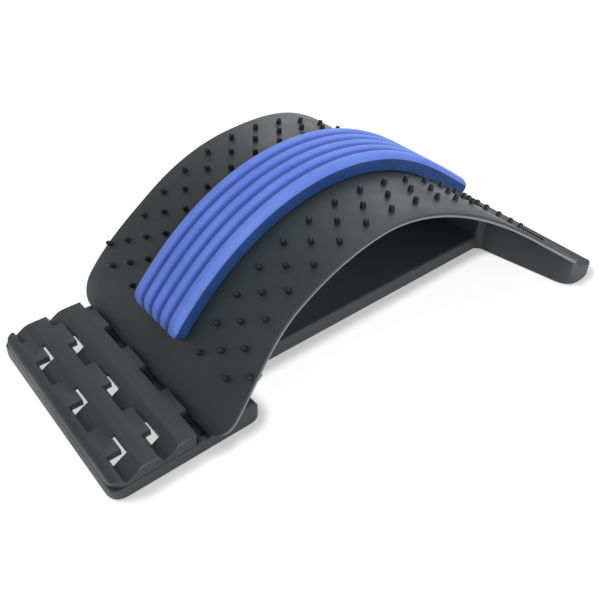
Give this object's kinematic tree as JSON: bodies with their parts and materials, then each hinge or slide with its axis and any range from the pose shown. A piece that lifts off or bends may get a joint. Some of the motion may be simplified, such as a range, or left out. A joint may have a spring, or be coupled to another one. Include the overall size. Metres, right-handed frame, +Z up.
{
  "type": "lower back massager",
  "caption": "Bowed lower back stretcher board with pressure nubs and a ribbed foam pad, hinged to a base whose stepped rack sets the height of the bow.",
  "frame": {"origin": "under the middle of the base, on the surface that it stands on", "axes": "+X along the length towards the wide end with the hinge sockets, +Y across, +Z up"},
  "size_m": [0.389, 0.237, 0.1143],
  "materials": {
    "base_plastic": "fine matte texture",
    "rack_plastic": "matte",
    "board_plastic": "satin matte",
    "nub_plastic": "satin",
    "foam": "soft closed-cell foam",
    "adhesive": "adhesive sheet",
    "screw_steel": "zinc plated",
    "foot_rubber": "soft rubber"
  },
  "bodies": {
    "base": {"base_frame": "base_plastic", "level_rack": "rack_plastic", "rack_screw_1": "screw_steel", "rack_screw_2": "screw_steel", "rack_screw_3": "screw_steel", "rack_screw_4": "screw_steel", "foot_rack_left": "foot_rubber", "foot_rack_right": "foot_rubber", "foot_waist_left": "foot_rubber", "foot_waist_right": "foot_rubber", "foot_wing_left": "foot_rubber", "foot_wing_right": "foot_rubber"},
    "board": {"arch_board": "board_plastic", "pad_adhesive": "adhesive", "foam_pad": "foam", "nub_strip_inner_left": "nub_plastic", "nub_strip_inner_right": "nub_plastic", "nub_strip_middle_left": "nub_plastic", "nub_strip_middle_right": "nub_plastic", "nub_strip_outer_left": "nub_plastic", "nub_strip_outer_right": "nub_plastic"}
  },
  "joints": [
    {"name": "board_lift", "type": "hinge", "parent": "base", "child": "board", "pos_m": [0.182, 0, 0.0067], "axis": [0, 1, 0], "range_deg": [0, 40]}
  ]
}
